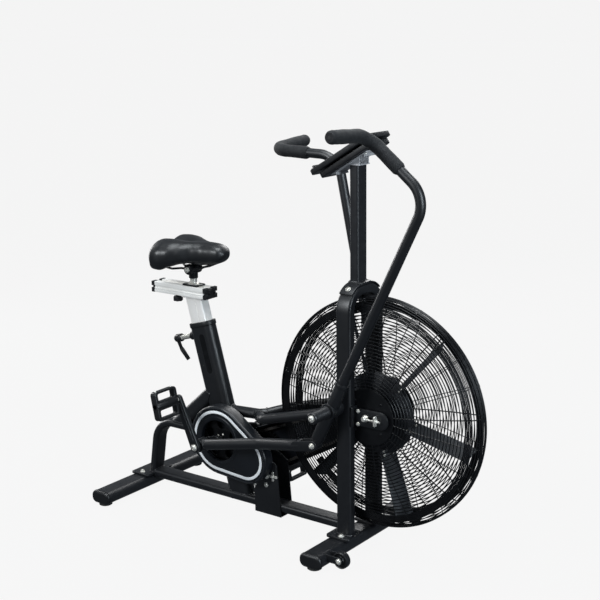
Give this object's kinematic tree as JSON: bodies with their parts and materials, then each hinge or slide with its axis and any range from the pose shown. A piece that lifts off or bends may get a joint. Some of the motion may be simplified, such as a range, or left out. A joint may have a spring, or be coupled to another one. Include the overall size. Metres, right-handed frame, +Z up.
{
  "type": "air bike",
  "caption": "Stationary bike whose pedals and swinging push-pull handles drive a caged fan through chains, with a sliding saddle on a tilted post.",
  "frame": {"origin": "bottom centre of the bounding box, on the floor under the middle of the bike", "axes": "+X from the saddle towards the fan, +Y to the rider's left, +Z up"},
  "size_m": [1.296, 0.6144, 1.2682],
  "materials": {
    "frame_paint": "satin black powder coat",
    "black_steel": "satin black",
    "silver": "bead-blasted anodised",
    "zinc": "zinc plated",
    "black_plastic": "moulded, fine grain",
    "rubber": "matte",
    "foam": "closed-cell foam",
    "leather": "soft vinyl leather",
    "screen": "clear window over a dark display"
  },
  "bodies": {
    "frame": {"main_beam": "frame_paint", "rear_stabilizer": "frame_paint", "front_stabilizer": "frame_paint", "rear_cap_right": "black_plastic", "rear_cap_left": "black_plastic", "front_cap_right": "black_plastic", "front_cap_left": "black_plastic", "rear_foot_right": "rubber", "rear_foot_left": "rubber", "front_foot_right": "rubber", "front_foot_left": "rubber", "seat_tube": "frame_paint", "rear_leg": "frame_paint", "side_rail_right": "frame_paint", "side_rail_left": "frame_paint", "front_arch": "frame_paint", "console_post": "frame_paint", "console_face": "black_plastic", "console_lens": "screen", "console_case": "black_plastic", "console_bracket": "silver", "drive_bracket": "frame_paint", "first_chain": "black_steel", "second_chain": "black_steel", "drive_cover_outer": "black_plastic", "drive_cover_inner": "black_plastic", "fan_chain_guard": "black_plastic", "cage_right": "black_steel", "cage_left": "black_steel", "fan_axle": "zinc", "fan_bracket_right": "frame_paint", "fan_bracket_left": "frame_paint", "foot_peg_right": "frame_paint", "foot_peg_left": "frame_paint"},
    "crank": {"crank_axle": "black_steel", "crank_sprocket": "black_steel", "crank_arm_right": "frame_paint", "crank_arm_left": "frame_paint"},
    "jackshaft": {"jackshaft": "black_steel"},
    "fan": {"fan_rotor": "black_steel"},
    "pedal_right": {"pedal_right": "black_plastic"},
    "pedal_left": {"pedal_left": "black_plastic"},
    "handle_right": {"handle_right": "frame_paint", "grip_right": "foam"},
    "handle_left": {"handle_left": "frame_paint", "grip_left": "foam"},
    "push_rod_right": {"push_rod_right": "frame_paint"},
    "push_rod_left": {"push_rod_left": "frame_paint"},
    "seat_post": {"seat_post": "silver", "slider_rail": "silver", "rail_cap_rear": "black_plastic", "rail_cap_front": "black_plastic"},
    "rail_knob": {"rail_knob": "black_plastic"},
    "saddle": {"saddle_carriage": "silver", "saddle": "leather"},
    "clamp_lever": {"clamp_lever": "black_plastic"},
    "console_key_1": {"console_key_1": "black_plastic"},
    "console_key_2": {"console_key_2": "black_plastic"},
    "transport_wheel_right": {"transport_wheel_right": "black_plastic"},
    "transport_wheel_left": {"transport_wheel_left": "black_plastic"}
  },
  "joints": [
    {"name": "crank_spin", "type": "hinge", "parent": "frame", "child": "crank", "pos_m": [-0.255, 0, 0.244], "axis": [0, 1, 0], "continuous": true},
    {"name": "jackshaft_spin", "type": "hinge", "parent": "frame", "child": "jackshaft", "pos_m": [-0.148, 0, 0.205], "axis": [0, 1, 0], "continuous": true},
    {"name": "fan_spin", "type": "hinge", "parent": "frame", "child": "fan", "pos_m": [0.303, 0, 0.425], "axis": [0, 1, 0], "continuous": true},
    {"name": "pedal_right_spin", "type": "hinge", "parent": "crank", "child": "pedal_right", "pos_m": [-0.35671, -0.194, 0.38146], "axis": [0, 1, 0], "continuous": true},
    {"name": "pedal_left_spin", "type": "hinge", "parent": "crank", "child": "pedal_left", "pos_m": [-0.15329, 0.194, 0.10654], "axis": [0, 1, 0], "continuous": true},
    {"name": "right_handle_swing", "type": "hinge", "parent": "frame", "child": "handle_right", "pos_m": [0.22, -0.126, 0.449], "axis": [0, 1, 0], "range_deg": [-38, 0]},
    {"name": "left_handle_swing", "type": "hinge", "parent": "frame", "child": "handle_left", "pos_m": [0.22, 0.126, 0.449], "axis": [0, 1, 0], "range_deg": [0, 38]},
    {"name": "right_rod_swing", "type": "hinge", "parent": "handle_right", "child": "push_rod_right", "pos_m": [0.16369, -0.126, 0.33405], "axis": [0, 1, 0], "range_deg": [0, 41.5]},
    {"name": "left_rod_swing", "type": "hinge", "parent": "handle_left", "child": "push_rod_left", "pos_m": [0.24639, 0.126, 0.32375], "axis": [0, 1, 0], "range_deg": [-41.5, 0]},
    {"name": "seat_post_slide", "type": "slide", "parent": "frame", "child": "seat_post", "axis": [-0.2672, 0, 0.9636], "range_m": [-0.05, 0.12]},
    {"name": "saddle_slide", "type": "slide", "parent": "seat_post", "child": "saddle", "axis": [1, 0, 0], "range_m": [-0.09, 0.02]},
    {"name": "rail_knob_turn", "type": "hinge", "parent": "seat_post", "child": "rail_knob", "pos_m": [-0.465, 0, 0.668], "axis": [0, 0, 1], "continuous": true},
    {"name": "clamp_lever_turn", "type": "hinge", "parent": "frame", "child": "clamp_lever", "pos_m": [-0.39724, 0, 0.55162], "axis": [-0.9636, 0, -0.2672], "range_deg": [-90, 90]},
    {"name": "console_key_1_press", "type": "slide", "parent": "frame", "child": "console_key_1", "axis": [0.5195, 0, -0.8545], "range_m": [0, 0.0015], "stiffness_N_per_m": 400, "springref_m": -0.0005},
    {"name": "console_key_2_press", "type": "slide", "parent": "frame", "child": "console_key_2", "axis": [0.5195, 0, -0.8545], "range_m": [0, 0.0015], "stiffness_N_per_m": 400, "springref_m": -0.0005},
    {"name": "transport_wheel_right_spin", "type": "hinge", "parent": "frame", "child": "transport_wheel_right", "pos_m": [0.305, -0.196, 0.037], "axis": [0, 1, 0], "continuous": true},
    {"name": "transport_wheel_left_spin", "type": "hinge", "parent": "frame", "child": "transport_wheel_left", "pos_m": [0.305, 0.196, 0.037], "axis": [0, 1, 0], "continuous": true}
  ],
  "couplings": [
    {"joint": "jackshaft_spin", "follows": "crank_spin", "ratio": 3},
    {"joint": "fan_spin", "follows": "crank_spin", "ratio": 6},
    {"joint": "left_handle_swing", "follows": "right_handle_swing", "ratio": -1},
    {"joint": "right_rod_swing", "follows": "right_handle_swing", "ratio": -1.092},
    {"joint": "left_rod_swing", "follows": "right_handle_swing", "ratio": 1.092}
  ]
}
